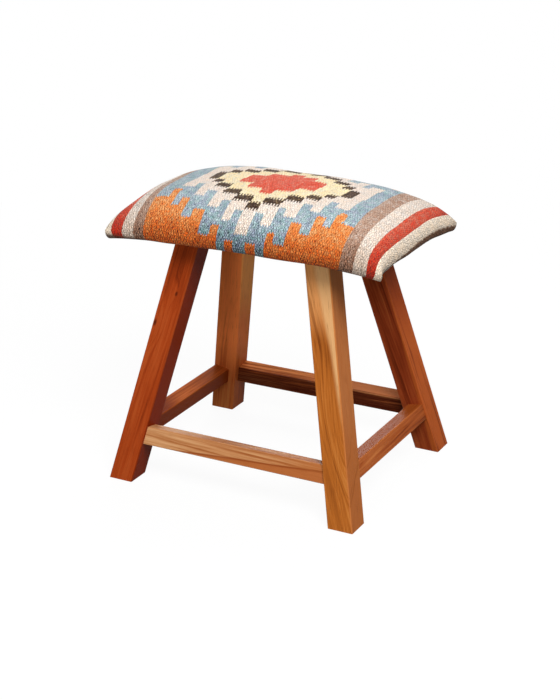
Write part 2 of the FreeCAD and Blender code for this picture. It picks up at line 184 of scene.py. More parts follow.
def timber(name, tones, local, half, pith, slant, seed, swirl=0.016, lines=0.35, streaks_and_painted_light=(), knots=()):
    """Oiled hardwood: rings round a pith beside the piece, and fibres, pores and figure along it.

    tones are the dark, middle and light wood; half is half of the section; slant tilts the rings along the
    piece and swirl bends them; lines is how dark they are. A streak has its ways, the level in them where
    it begins, how soft and how wavy its edge is, and its tone; some streaks are wood, and some paint light
    or shade on part of the piece. A knot has its place, its size, and how far from it the grain bends. Ways
    and places are given across, up and along the piece.
    """
    finish, shader, place = new_finish(name)
    across, up, along = local(place)
    run = along + seed

    def grain(stretch, scale, detail, roughness=0.5):
        """Noise that is drawn out along the wood."""
        return noise(vector(across, up, run * stretch), scale, detail, roughness)

    figure = grain(stretch=0.12, scale=26, detail=3)
    broad = grain(stretch=0.3, scale=13, detail=2)
    fibre = grain(stretch=0.022, scale=620, detail=3, roughness=0.6)
    pore = rise(grain(stretch=0.03, scale=1300, detail=1), 0.61, 0.7)
    bend = along * slant + (figure - 0.5) * swirl
    knot_ways = []
    for knot, size, reach in knots:
        offsets = zip((across, up, along), knot, KNOT_SHARES)
        distance = sum(((way - at) * share) ** 2 for way, at, share in offsets) ** 0.5
        knot_ways.append((distance, size))
        bend = bend + rise(distance, reach, 0) * (reach * KNOT_PUSH)
    radius = ((across - pith[0]) ** 2 + (up - pith[1]) ** 2) ** 0.5 + bend
    rings = noise(vector(radius, run * 0.015, seed), scale=260, detail=4, roughness=0.62)
    line = rise(rings, 0.45, 0.36)
    tone = 0.5 + (broad - 0.5) * 1.1 + (rings - 0.5) * (lines * 3.4) + (fibre - 0.5) * 0.5
    dark, middle, light = (dye(*tone_colour) for tone_colour in tones)
    stops = [(0.15, dark), (0.5, middle), (0.85, light)]
    colour = tone.node("ShaderNodeValToRGB", {"stops": stops}, {0: tone})
    # Each streak mixes in a tone: some are wood, and some paint light and shade on part of the piece.
    for ways, level, soft, wave, streak_and_light_tone in streaks_and_painted_light:
        reach = across * ways[0] + up * ways[1] + along * ways[2] + (figure - 0.5) * wave
        share = rise(reach, level, level + soft) * (0.92 - line * lines - (fibre - 0.5) * 0.5)
        colour = mixed(share, colour, dye(*streak_and_light_tone))
    colour = mixed(pore * 0.4 + line * lines, colour, dark)
    for distance, size in knot_ways:
        colour = mixed(rise(distance, size * 1.8, size * 0.4) * 0.85, colour, KNOT)
    near_edges = [rise(abs(way), size - WORN_FROM, size - WORN_TO) for way, size in zip((across, up), half)]
    worn = near_edges[0] * near_edges[1]
    colour = mixed(worn * rise(figure, 0.35, 0.65) * 0.5, colour, light)
    place.feed(shader, {
        "Base Color": colour,
        "Roughness": 0.45 + (fibre - 0.5) * 0.3 + pore * 0.15,
        "Specular IOR Level": 0.018,
        "Normal": bumped(fibre * 0.6 - pore * 0.5 - line * 0.2, 0.25 * MM, 0.5),
    })
    return finish


def leg_place(side_x, side_y):
    """Places on a leg: across the seat's length and depth from the leg's own leaning middle, and up."""

    def local(place):
        x, y, z = place.parts()
        return x - side_x * FOOT_X + z * (side_x * LEAN_X), y - side_y * FOOT_Y + z * (side_y * LEAN_Y), z

    return local


def dress(node, finish):
    """Gives a CAD piece its finish."""
    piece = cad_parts[node]
    piece.data.materials.clear()
    piece.data.materials.append(finish)


LEG_HALF = [LEG_SIDE / 2 * math.hypot(1, lean) for lean in (LEAN_X, LEAN_Y)]
RIGHT_FACE = ((1, 0, 0), 17.8 * MM, 1.2 * MM, 0)
UPWARDS, UP_THE_RIGHT_FACE = (0, 0, 1), (40, 0, 1)
dress("leg_front_left", timber(
    "red_heartwood", ((90, 27, 9), (158, 61, 21), (182, 87, 40)), leg_place(-1, -1), LEG_HALF,
    pith=(0.07, 0.05), slant=0.02, seed=1.3, swirl=0.012, lines=0.16,
    # The right-face streak paints the leg's inner face darker: painted shade.
    streaks_and_painted_light=((*RIGHT_FACE, (120, 36, 6)),),
    knots=(((0.006, -0.02, 0.292), 0.0017, 0.02), ((-0.0165, -0.02, 0.245), 0.0023, 0.03)),
))
dress("leg_front_right", timber(
    "golden_wood", ((112, 54, 16), (174, 98, 36), (202, 132, 66)), leg_place(1, -1), LEG_HALF,
    pith=(-0.06, 0.035), slant=0.12, seed=2.6, swirl=0.02, lines=0.24,
    streaks_and_painted_light=(
        (UPWARDS, 0.25, 0.07, 0.07, (214, 146, 86)),
        ((1, 0, 0.12), 0.034, 0.01, 0.02, (216, 166, 112)),
        (*RIGHT_FACE, (174, 100, 51)),
    ),
    knots=(((0.034, -0.02, 0.15), 0.002, 0.07),),
))
dress("leg_back_left", timber(
    "brown_wood", ((126, 53, 21), (186, 93, 42), (206, 126, 68)), leg_place(-1, 1), LEG_HALF,
    pith=(0.05, 0.07), slant=0.03, seed=4.1, swirl=0.012, lines=0.2,
    streaks_and_painted_light=(
        # Both streaks are painted light: the leg's upper part and the top of its right face are lighter
        # where the seat shades them.
        (UPWARDS, 0.06, 0.08, 0.06, (250, 138, 72)),
        (UP_THE_RIGHT_FACE, 0.94, 0.1, 0.08, (255, 172, 92)),
    ),
))
dress("leg_back_right", timber(
    "dark_heartwood", ((92, 31, 10), (150, 62, 29), (180, 92, 47)), leg_place(1, 1), LEG_HALF,
    pith=(-0.05, -0.08), slant=0.03, seed=5.7,
    streaks_and_painted_light=(
        ((1, 0, -0.03), 0.009, 0.004, 0.016, (180, 88, 38)),
        # This streak paints the top of the right face darker, under the seat: painted shade.
        (UP_THE_RIGHT_FACE, 0.97, 0.12, 0.04, (154, 64, 26)),
    ),
))

# Stretchers
# Two long and two short bars of the same oiled hardwood, low down between the legs. Each leans with the
# pair of legs that it joins, and its stub tenons are glued into their mortises. Faces of the back, left
# and right bars are painted darker as painted shade, and the back bar is painted lighter overall as
# painted light.


def rail_place(node, along_x):
    """Places on a stretcher: across and up its own leaning section, and along it."""
    low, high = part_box(node)
    middle = (low + high) / 2
    lean = math.atan(LEAN_Y if along_x else LEAN_X)
    outwards = middle.y if along_x else middle.x
    turn = math.copysign(lean, outwards)

    def local(place):
        x, y, z = place.parts()
        side = (y - middle.y) if along_x else (x - middle.x)
        rise_up = z - middle.z
        across = side * math.cos(turn) + rise_up * math.sin(turn)
        up = rise_up * math.cos(turn) - side * math.sin(turn)
        return across, up, x if along_x else y

    return local


LONG_RAIL_HALF, SIDE_RAIL_HALF = (12.5 * MM, 14 * MM), (12.5 * MM, 13.25 * MM)
TO_THE_RIGHT, TO_THE_FRONT = (0, 0, 1), (0, 0, -1)
DOWN_TO_THE_RIGHT = (0, -1, 0.07)
dress("stretcher_front", timber(
    "pale_wood", ((150, 78, 34), (192, 132, 84), (214, 166, 118)),
    rail_place("stretcher_front", True), LONG_RAIL_HALF,
    pith=(0.03, -0.06), slant=0.02, seed=6.2,
    streaks_and_painted_light=(
        (TO_THE_RIGHT, 0.02, 0.13, 0.02, (176, 104, 54)),
        (DOWN_TO_THE_RIGHT, 0.0045, 0.002, 0.012, (138, 64, 24)),
        (DOWN_TO_THE_RIGHT, 0.0064, 0.003, 0.012, (176, 102, 54)),
    ),
))
dress("stretcher_back", timber(
    # Its tones are lighter to make up for the seat's shadow on its top: painted light.
    "orange_wood", ((150, 72, 32), (226, 136, 76), (238, 160, 100)),
    rail_place("stretcher_back", True), LONG_RAIL_HALF,
    pith=(0.04, 0.05), slant=0.02, seed=7.9, swirl=0.006,
    streaks_and_painted_light=(
        (TO_THE_RIGHT, -0.01, 0.06, 0.02, (170, 100, 60)),
        # This streak paints the bar's front face very dark: painted shade.
        ((-1, 0, 0), 0.0085, 0.002, 0.002, (68, 14, 4)),
    ),
))
dress("stretcher_left", timber(
    "walnut_brown_wood", ((104, 46, 16), (170, 82, 32), (200, 108, 46)),
    rail_place("stretcher_left", False), SIDE_RAIL_HALF,
    pith=(0.05, 0.04), slant=0.02, seed=8.8,
    streaks_and_painted_light=(
        # This streak paints the bar's front end darker: painted shade.
        (TO_THE_FRONT, 0.01, 0.06, 0.02, (116, 42, 12)),
        # This streak paints the bar's inner face darker: painted shade.
        ((1, 0, 0), 0.0115, 0.0008, 0, (124, 48, 10)),
    ),
))
dress("stretcher_right", timber(
    "chestnut_brown_wood", ((108, 44, 16), (168, 84, 38), (196, 116, 62)),
    rail_place("stretcher_right", False), SIDE_RAIL_HALF,
    pith=(-0.05, 0.04), slant=0.02, seed=9.4,
    # The streak paints the bar's top face darker: painted shade.
    streaks_and_painted_light=(((0, 1, 0), 0.0122, 0.0008, 0, (148, 72, 26)),),
))

# Seat board
# A plywood board with rounded corners under the pad, bored and countersunk for the leg screws.
# It is bare birch: pale faces and thin darker plies along its edge.

BOARD_BOTTOM, BOARD_TOP = LEG_HEIGHT, LEG_HEIGHT + 15 * MM
PLY = 1.5 * MM
plywood, plywood_shader, board_place = new_finish("birch_plywood")
board_x, board_y, board_z = board_place.parts()
ply = ((board_z - BOARD_BOTTOM) / PLY).floor() % 2
board_grain = noise(vector(board_x * 0.05, board_y, board_z), 240, 3, 0.6)
board_tone = mixed(board_grain, dye(190, 150, 100), dye(226, 196, 150))
board_tone = mixed(ply * 0.4, board_tone, dye(150, 104, 62))
board_place.feed(plywood_shader, {
    "Base Color": board_tone,
    "Roughness": 0.62 + board_grain * 0.2,
    "Normal": bumped(board_grain, 0.2 * MM, 0.4),
})
dress("seat_board", plywood)

# Leg screws
# One stout countersunk screw runs down through the board into the top of each leg.
# All four are hidden under the foam, and they are zinc-plated steel.

zinc, zinc_shader, screw_place = new_finish("zinc_plate")
spangle = noise(screw_place, 420, 2)
screw_place.feed(zinc_shader, {
    "Base Color": mixed(spangle, dye(168, 164, 152), dye(206, 202, 190)),
    "Metallic": 1,
    "Roughness": 0.32 + spangle * 0.2,
    "Normal": bumped(spangle, 0.05 * MM, 0.3),
})
dress("leg_screws", zinc)

# Foam pad
# A block of open-cell foam glued on the board, with its sides cut back so that the seat can round over.
# It is hidden under the wadding.

FOAM_LENGTH, FOAM_DEPTH = 371 * MM, 207 * MM
FOAM_BEVEL = 24 * MM
FOAM_TOP = 427.7 * MM
FOAM_ROUND, FOAM_ROUND_STEPS = 5 * MM, 4
LAYER_GAP = 0.3 * MM


def new_piece(name, bm, finish):
    """Makes a piece of a bmesh, at the origin, riding on the stool."""
    mesh = bpy.data.meshes.new(name)
    bm.to_mesh(mesh)
    bm.free()
    for polygon in mesh.polygons:
        polygon.use_smooth = True
    piece = bpy.data.objects.new(name, mesh)
    bpy.context.scene.collection.objects.link(piece)
    mesh.materials.append(finish)
    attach(piece, "root")
    return piece


foam, foam_shader, foam_place = new_finish("open_cell_foam")
cells = noise(foam_place, 900, 2, 0.7)
foam_place.feed(foam_shader, {
    "Base Color": mixed(cells, dye(214, 196, 140), dye(240, 228, 186)),
    "Roughness": 0.9,
    "Normal": bumped(cells, 0.4 * MM, 0.6),
})
bm = bmesh.new()
bmesh.ops.create_cube(bm, size=1)
foam_bottom = BOARD_TOP + LAYER_GAP
for vert in bm.verts:
    back = FOAM_BEVEL if vert.co.z > 0 else 0
    vert.co.x = math.copysign(FOAM_LENGTH / 2 - back, vert.co.x)
    vert.co.y = math.copysign(FOAM_DEPTH / 2 - back, vert.co.y)
    vert.co.z = FOAM_TOP if vert.co.z > 0 else foam_bottom
bmesh.ops.bevel(
    bm, geom=bm.edges[:], offset=FOAM_ROUND, affect="EDGES",
    segments=FOAM_ROUND_STEPS, profile=0.5, material=-1,
)
pad = new_piece("foam_block", bm, foam)
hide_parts("foam_pad")

# Wadding
# Layers of fluffy fibre wadding that round the foam and the board's edges off into the dome of the seat.
# It is pulled down with the cover, and its lower edge ends at the board's underside.

SEAT_HALF_LENGTH, SEAT_HALF_DEPTH = 220.5 * MM, 136.8 * MM
EAR_SPREAD, EAR_POWER = 6 * MM, 6
EAR_DROOP = 6 * MM
BACK_EAR_DROOP, BACK_EAR_POWER = 7 * MM, 3
RIGHT_END_PROUD, RIGHT_END_TURN, RIGHT_END_POWER = 5.5 * MM, 3.5 * MM, 4
FRONT_EAR_REACH, FRONT_EAR_POWERS = 11 * MM, (10, 8)
BACK_EAR_PULL = 0.45
EAR_ROUND, EAR_ROUND_POWER = 2 * MM, 24
LUMP_HEIGHT, LUMP_PITCH = 2.4 * MM, 50 * MM
CROWN_LEVEL = 455 * MM
EDGE_LEVEL = 391 * MM
END_POWER, END_ROOT = 3.17, 0.47
SIDE_POWER, SIDE_ROOT = 2.83, 0.65
DOME_STEPS_X, DOME_STEPS_Y = 84, 56
COVER_THICKNESS = 2.6 * MM
BOARD_HALF_X, BOARD_HALF_Y = 205.5 * MM, 123.5 * MM


def lump(u, v, layer):
    """How far the hand-laid wadding swells out or sinks in at a place. Each layer has its own lumps."""
    place = Vector((u * SEAT_HALF_LENGTH, v * SEAT_HALF_DEPTH, 0)) / LUMP_PITCH
    return LUMP_HEIGHT * hills.noise(place + Vector((0, 0, layer + 0.5)))


def plan_point(u, v, inset=0.0):
    """The place over the floor of a dome point, with the seat's outline drawn in by the inset."""
    round_off = EAR_ROUND * abs(u * v) ** EAR_ROUND_POWER
    right, front = max(0, u), max(0, -v)
    proud = (RIGHT_END_PROUD + RIGHT_END_TURN * v) * right ** RIGHT_END_POWER
    ear_reach = FRONT_EAR_REACH * right ** FRONT_EAR_POWERS[0] * front ** FRONT_EAR_POWERS[1]
    swell = lump(u, v, 0)
    x = u * (SEAT_HALF_LENGTH - inset - round_off + swell) + proud + ear_reach
    spread = EAR_SPREAD * abs(u) ** EAR_POWER * (1 - BACK_EAR_PULL * right * (1 + v))
    y = v * (SEAT_HALF_DEPTH - inset - round_off + spread + swell)
    return x, y


def dome_point(u, v, inset=0.0):
    """A place on the domed seat. u runs from end to end and v from front to back, both from -1 to 1."""
    end = max(0.0, 1 - abs(u) ** END_POWER) ** END_ROOT
    side = max(0.0, 1 - abs(v) ** SIDE_POWER) ** SIDE_ROOT
    z = EDGE_LEVEL + (CROWN_LEVEL - inset - EDGE_LEVEL) * end * side - ear_drop(u, v)
    return Vector((*plan_point(u, v, inset), z))


def ear_drop(u, v):
    """How far the seat hangs down, which is most at its four corners, and how its lumps lie."""
    if min(u, v) > 0:
        return BACK_EAR_DROOP * u ** EAR_POWER * v ** BACK_EAR_POWER - lump(u, v, 1)
    return EAR_DROOP * abs(u * v) ** EAR_POWER - lump(u, v, 1)


def dome_grid(bm):
    """A grid of dome places: gives its verts, each with its u and v."""
    made = bmesh.ops.create_grid(bm, x_segments=DOME_STEPS_X, y_segments=DOME_STEPS_Y, size=1)
    return [(vert, *(math.sin(way * math.pi / 2) for way in vert.co.xy)) for vert in made["verts"]]


def grow_rim(bm, rim):
    """Extrudes an open edge: gives the new edge and its verts, which still lie on the old ones."""
    grown = bmesh.ops.extrude_edge_only(bm, edges=rim)["geom"]
    rim = [item for item in grown if isinstance(item, bmesh.types.BMEdge) and item.is_boundary]
    return rim, {vert for edge in rim for vert in edge.verts}


wadding_finish, wadding_shader, wadding_place = new_finish("fibre_wadding")
fluff = noise(wadding_place, 160, 4, 0.7)
wadding_place.feed(wadding_shader, {
    "Base Color": mixed(fluff, dye(220, 216, 206), dye(246, 244, 238)),
    "Roughness": 0.95,
    "Normal": bumped(fluff, 2 * MM, 0.6),
})
bm = bmesh.new()
wadding_inset = COVER_THICKNESS + 2 * LAYER_GAP
for vert, u, v in dome_grid(bm):
    vert.co = dome_point(u, v, wadding_inset)
outer_rim, outer_verts = grow_rim(bm, [edge for edge in bm.edges if edge.is_boundary])
for vert in outer_verts:
    vert.co.z = BOARD_BOTTOM + LAYER_GAP
room = 2 * LAYER_GAP
inner = dome_grid(bm)
for vert, u, v in inner:
    x, y = u * (FOAM_LENGTH / 2 + room), v * (FOAM_DEPTH / 2 + room)
    slope_in = min(FOAM_LENGTH / 2 - abs(x), FOAM_DEPTH / 2 - abs(y)) / FOAM_BEVEL
    vert.co = (x, y, BOARD_TOP + (FOAM_TOP - BOARD_TOP) * min(1, max(0, slope_in)) + room)
inner_verts = {vert for vert, u, v in inner}
inner_rim = [edge for edge in bm.edges if edge.is_boundary and edge.verts[0] in inner_verts]
inner_rim, shelf_verts = grow_rim(bm, inner_rim)
for vert in shelf_verts:
    vert.co.x *= (BOARD_HALF_X + room) / (FOAM_LENGTH / 2 + room)
    vert.co.y *= (BOARD_HALF_Y + room) / (FOAM_DEPTH / 2 + room)
inner_rim, skirt_verts = grow_rim(bm, inner_rim)
for vert in skirt_verts:
    vert.co.z = BOARD_BOTTOM + LAYER_GAP
bmesh.ops.bridge_loops(bm, edges=outer_rim + inner_rim)
bmesh.ops.recalc_face_normals(bm, faces=bm.faces[:])
quilt = new_piece("wadding_layers", bm, wadding_finish)
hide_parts("wadding")

# Kilim cover
# One flat-woven piece of wool on cotton, pulled tight over the pad and turned under the board all round.
# Its stepped medallion has serrated bands, and plain stripes cross both ends. The warps run along the seat,
# and the hem is stapled to the board's underside.

FOLD_DOWN, FOLD_IN = 12 * MM, 5.5 * MM
FOLD_STEPS = 6
HEM_WIDTH = 30 * MM
HEM_STEPS = 3
ARC_STEPS = 40
AT_THE_RIM = 0.9999

bm = bmesh.new()
cloth_x = bm.verts.layers.float.new("cloth_x")
cloth_y = bm.verts.layers.float.new("cloth_y")
share_x = bm.verts.layers.float.new("share_x")
share_y = bm.verts.layers.float.new("share_y")


def arc(points):
    """The length of a line of points."""
    return sum((after - before).length for before, after in zip(points, points[1:]))


for vert, u, v in dome_grid(bm):
    shares = [step / ARC_STEPS for step in range(ARC_STEPS + 1)]
    crown_line = [dome_point(math.sin(share * math.asin(u)), 0) for share in shares]
    depth_line = [dome_point(u, math.sin(share * math.asin(v))) for share in shares]
    vert[cloth_x] = math.copysign(arc(crown_line), u)
    vert[cloth_y] = math.copysign(arc(depth_line), v)
    vert[share_x] = u
    vert[share_y] = v
    vert.co = dome_point(u, v)
fold_turns = [(step + 1) / FOLD_STEPS * math.pi / 2 for step in range(FOLD_STEPS)]
hem_path = [(FOLD_IN * (1 - math.cos(turn)), FOLD_DOWN * math.sin(turn), 1) for turn in fold_turns]
hem_shares = [(step + 1) / HEM_STEPS for step in range(HEM_STEPS)]
hem_path += [(FOLD_IN + HEM_WIDTH * share, FOLD_DOWN, 1 - share) for share in hem_shares]
rim = [edge for edge in bm.edges if edge.is_boundary]
inwards, down = 0, 0
for next_in, next_down, slack in hem_path:
    rim, rim_verts = grow_rim(bm, rim)
    cloth_step = math.hypot(next_in - inwards, next_down - down)
    for vert in rim_verts:
        u, v = vert[share_x], vert[share_y]
        if abs(u) > AT_THE_RIM:
            vert[cloth_x] += math.copysign(cloth_step, u)
        if abs(v) > AT_THE_RIM:
            vert[cloth_y] += math.copysign(cloth_step, v)
        vert.co = (*plan_point(u, v, next_in), EDGE_LEVEL - next_down - ear_drop(u, v) * slack)
    inwards, down = next_in, next_down
bmesh.ops.recalc_face_normals(bm, faces=bm.faces[:])
weave = bm.loops.layers.uv.new("weave")
for face in bm.faces:
    for loop in face.loops:
        loop[weave].uv = (loop.vert[cloth_x], loop.vert[cloth_y])

# The medallion, in millimetres from its middle: each band reaches out across the seat by the second number,
# from the first number along the seat onwards. The stripes begin at their distance along the seat.
RED_STEPS = ((0, 53), (11, 38), (38, 20), (62, 0))
CREAM_STEPS = ((0, 78), (9.5, 63), (37.5, 48), (64, 33), (86, 18), (102, 0))
RING_STEPS = ((0, 93), (9.5, 78), (37.5, 63), (64, 48), (86, 33), (102, 18), (118, 0))
WHITE_STEPS = (
    (0, 137), (10, 98), (24, 118), (39, 81), (52, 97), (71, 63), (88, 78), (104, 44), (116, 57), (136, 0),
)
BLUE_STEPS = (
    (0, 195), (10, 148), (25, 195), (39, 127), (51, 143), (70, 105), (89, 121), (104, 85), (118, 101),
    (130, 65), (142, 85),
)
RED, CREAM = dye(221, 100, 76), dye(244, 226, 188)
BLACK, BLACK_GLINT = dye(68, 48, 36), dye(150, 128, 100)
WHITE, ORANGE = dye(234, 219, 206), dye(228, 150, 88)
GREY_BLUE, GREEN_BLUE = dye(164, 174, 188), dye(162, 186, 188)
TAUPE, BEIGE, ROLL_SHADE_BROWN = dye(188, 157, 138), dye(255, 242, 226), dye(172, 136, 108)
STRIPE_RED = dye(226, 110, 84)
STRIPE_COLOURS = (TAUPE, WHITE, STRIPE_RED)
RIGHT_STRIPES, LEFT_STRIPES = (164.5, 185.5, 207), (166.5, 183.5, 203.5)
RIGHT_BEIGE, LEFT_BEIGE = 227.5 * MM, 231 * MM
BEIGE_SHIFT, BEIGE_POWER = 7 * MM, 6
ROLL_SHADE_START, ROLL_SHADE_SOFT, ROLL_SHADE_WANDER = 247.5 * MM, 2 * MM, 8 * MM
ROLL_SHADE_SHIFT, ROLL_SHADE_MIDDLE = 16 * MM, 0.15
STRIPE_MIDDLE = 3.5 * MM
STRIPE_BOW, STRIPE_SHIFT = 5 * MM, 4 * MM
STRIPE_FRAY = 1.5 * MM
EDGE_REACH = 160 * MM
CHART_REACH = 256 * MM
STRIPE_REACH = 320 * MM
MIDDLE_X, MIDDLE_Y = 5 * MM, -9 * MM
BACK_ROOM = 22 * MM
SKEW, SKEW_END = 0.05, 95 * MM
SWAY = 3 * MM
WEFT = 2.3 * MM
WARP, PICK = 4.2 * MM, 3.9 * MM
WARP_WANDER, PICK_WANDER = 1.8, 2.4
PIT_POWER = 1.4
TOOTH = 4 * MM
SMALL_TEETH, FULL_TEETH = 0.5, 1

kilim, kilim_shader, kilim_place = new_finish("kilim")
cloth = kilim_place.node("ShaderNodeUVMap", {"uv_map": "weave"}, {})
warp_way, weft_way, level = cloth.parts()
sway = (noise(cloth, 14, 2) - 0.5) * SWAY
weft = ((warp_way + sway) / WEFT).floor()
weft_luck = weft.node("ShaderNodeTexWhiteNoise", {"noise_dimensions": "1D"}, {"W": weft})
tooth = (weft % 2 - 0.5) * TOOTH + (weft_luck - 0.5) * (TOOTH / 2)
skew = (weft_way.maths("MAXIMUM", weft_way, -SKEW_END) + SKEW_END) * SKEW
along_seat = abs(weft * WEFT - MIDDLE_X - skew)
across_seat = abs(weft_way - MIDDLE_Y)

# Each pick lies over a warp as a small pillow, in rows half a pick apart, with a pit at either end.
warp = weft_way / WARP + (noise(cloth, 140, 2) - 0.5) * WARP_WANDER
warp_row = warp.floor()
pick = warp_way / PICK + (warp_row % 2) * 0.5 + (noise(cloth, 220, 2) - 0.5) * PICK_WANDER
pick_cell = vector(pick.floor(), warp_row, level)
pick_luck = pick.node("ShaderNodeTexWhiteNoise", {"noise_dimensions": "2D"}, {"Vector": pick_cell})
off_warp = ((warp % 1) * 2 - 1) ** 2
off_pick = ((pick % 1) * 2 - 1) ** 2
crest = (1 - off_warp) * (1 - off_pick)
pit = ((1 - off_warp) * off_pick) ** PIT_POWER


def band(steps, teeth, room=0.0):
    """1 inside a stepped band of the medallion, and 0 outside it. Room widens it."""
    stops = [(start * MM / CHART_REACH, [reach * MM] * 3 + [1]) for start, reach in steps]
    settings = {"interpolation": "CONSTANT", "stops": stops}
    edge = along_seat.node("ShaderNodeValToRGB", settings, {0: along_seat / CHART_REACH})
    serrated = across_seat + tooth * teeth
    return edge + room > serrated.maths("MAXIMUM", serrated, 0.0)


back_room = (weft_way > MIDDLE_Y) * BACK_ROOM
blue = mixed(rise(noise(cloth, 100, 3, 0.7), 0.4, 0.6), GREY_BLUE, GREEN_BLUE)
yarn = mixed(band(BLUE_STEPS, SMALL_TEETH, back_room), ORANGE, blue)
yarn = mixed(band(WHITE_STEPS, SMALL_TEETH), yarn, WHITE)
# Pale glints on some yarn crests of the black ring: painted highlight.
glinting_black = mixed(rise(pick_luck, 0.55, 0.85) * crest, BLACK, BLACK_GLINT)
for steps, colour in ((RING_STEPS, glinting_black), (CREAM_STEPS, CREAM), (RED_STEPS, RED)):
    yarn = mixed(band(steps, FULL_TEETH), yarn, colour)
edge_share = weft_way / EDGE_REACH
front_share = edge_share.maths("MAXIMUM", 0 - edge_share, 0.0)
end_way = abs(warp_way + sway - STRIPE_MIDDLE - front_share * STRIPE_SHIFT) + edge_share ** 2 * STRIPE_BOW
end_way = end_way + (noise(cloth, 320, 2) - 0.5) * STRIPE_FRAY
at_left = warp_way < 0
ends = ((RIGHT_STRIPES, RIGHT_BEIGE, 1 - at_left), (LEFT_STRIPES, LEFT_BEIGE, at_left))
for starts, beige_start, at_end in ends:
    stops = [(start * MM / STRIPE_REACH, colour) for start, colour in zip(starts, STRIPE_COLOURS)]
    settings = {"interpolation": "CONSTANT", "stops": stops}
    stripes = end_way.node("ShaderNodeValToRGB", settings, {0: end_way / STRIPE_REACH})
    yarn = mixed((end_way > starts[0] * MM) * at_end, yarn, stripes)
    yarn = mixed((end_way + front_share ** BEIGE_POWER * BEIGE_SHIFT > beige_start) * at_end, yarn, BEIGE)
# The brown band where each end rolls under is partly a brown stripe and partly painted shade under the
# roll.
roll_shade_way = end_way - (edge_share - ROLL_SHADE_MIDDLE) ** 2 * ROLL_SHADE_SHIFT
roll_shade_way = roll_shade_way + (noise(cloth, 130, 3) - 0.5) * ROLL_SHADE_WANDER
yarn = mixed(rise(roll_shade_way, ROLL_SHADE_START - ROLL_SHADE_SOFT, ROLL_SHADE_START + ROLL_SHADE_SOFT), yarn, ROLL_SHADE_BROWN)

# The weave's pits are painted darker and its crests lighter, as painted shade and painted highlight; this
# shading is weak on top and on the end stripes and strongest towards the long edges.
# Its colours are painted darker and deeper towards its lower edges, darker towards its right end, and dark
# along the left end's lower edge, all as painted shade.
WEAK_RELIEF_FROM, WEAK_RELIEF_TO = 140 * MM, 200 * MM
LOW_SHADE_START_LEVEL, LOW_SHADE_FULL_LEVEL = 432 * MM, 385 * MM
RIGHT_SHADE_FROM, RIGHT_SHADE_TO, RIGHT_SHADE_DEPTH = 100 * MM, 240 * MM, 0.12
LEFT_UNDER_SHADE, UNDER_SHADE_FULL_LEVEL, UNDER_SHADE_START_LEVEL = dye(74, 46, 30), 377 * MM, 384 * MM
UNDER_SHADE_FROM, UNDER_SHADE_TO = -130 * MM, -180 * MM
# The relief shade strength scales the painted shade in the pits, the painted highlight on the crests and
# the fuzz.
relief_shade_strength = 0.5 + edge_share ** 2 * (0.95 - rise(abs(warp_way), WEAK_RELIEF_FROM, WEAK_RELIEF_TO) * 0.5)
fuzz = noise(cloth, 420, 4, 0.75)
relief = fuzz * 0.5 - pit
streak = noise(vector(warp_way * 60, weft_way * 3, level), 8, 2)
mottle = noise(cloth, 60, 2)
height = kilim_place.parts()[2]
# Darker and deeper colours towards the lower edges: painted shade.
low_painted_shade = rise(height, LOW_SHADE_START_LEVEL, LOW_SHADE_FULL_LEVEL)
depth = 1 + (pick_luck - 0.5) * 0.6 + (streak - 0.5) * 0.5 + (mottle - 0.5) * 0.6
# The colours deepen low down and in the weave's pits: painted shade.
depth = depth + low_painted_shade * 0.6 + pit * relief_shade_strength
yarn = yarn.node("ShaderNodeGamma", {}, {"Color": yarn, "Gamma": depth})
red_part, _, blue_part = yarn.parts()
dyed = 1 - red_part * blue_part
# The fuzz and the lower edges darken the yarn here: painted shade.
shade = 1 + (fuzz - 0.5) * (0.3 + relief_shade_strength * 0.35) + (pick_luck - 0.5) * 0.25 - low_painted_shade * dyed * 0.32
relief_shade_contrast = relief_shade_strength * (1 + (blue_part - red_part) * 0.35)
# Crests are painted lighter and pits darker: painted highlight and painted shade.
shade = shade + (crest - 0.45) * relief_shade_contrast * 0.6 - pit * relief_shade_contrast * (0.15 + pick_luck * 0.3)
# Darker towards the right end: painted shade.
shade = shade - rise(warp_way, RIGHT_SHADE_FROM, RIGHT_SHADE_TO) * RIGHT_SHADE_DEPTH
yarn = yarn.node("ShaderNodeVectorMath", {"operation": "SCALE"}, {0: yarn, "Scale": shade})
# Dark along the left end's lower edge, where it rolls under: painted shade.
left_under_shade = rise(height, UNDER_SHADE_START_LEVEL, UNDER_SHADE_FULL_LEVEL) * rise(warp_way, UNDER_SHADE_FROM, UNDER_SHADE_TO)
yarn = mixed(left_under_shade * 0.9, yarn, LEFT_UNDER_SHADE)
kilim_place.feed(kilim_shader, {
    "Base Color": yarn,
    "Roughness": 0.85,
    "Sheen Weight": 0.06,
    "Sheen Roughness": 0.5,
    "Specular IOR Level": 0.08,
    "Normal": bumped(relief, 2 * MM, 0.85),
})


def thicken(piece, thickness):
    """Gives a sheet its thickness, towards the inside."""
    layer = piece.modifiers.new("cloth_thickness", "SOLIDIFY")
    layer.thickness = thickness
    layer.offset = -1


cover = new_piece("kilim_seat_cover", bm, kilim)
thicken(cover, COVER_THICKNESS)
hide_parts("kilim_cover")

# Lining
# A thin black non-woven cloth closes the underside over the turned hem, cut out round the four legs.
# It hangs a little between its staples.

LINING_HALF_X, LINING_HALF_Y = 202.5 * MM, 120.5 * MM
LINING_LEVEL = 378.9 * MM
LINING_THICKNESS = 0.6 * MM
LINING_SAG, SAG_POWER = 2.5 * MM, 4
LINING_CELLS_X, LINING_CELLS_Y = 45, 27
LEG_ROOM = 1 * MM

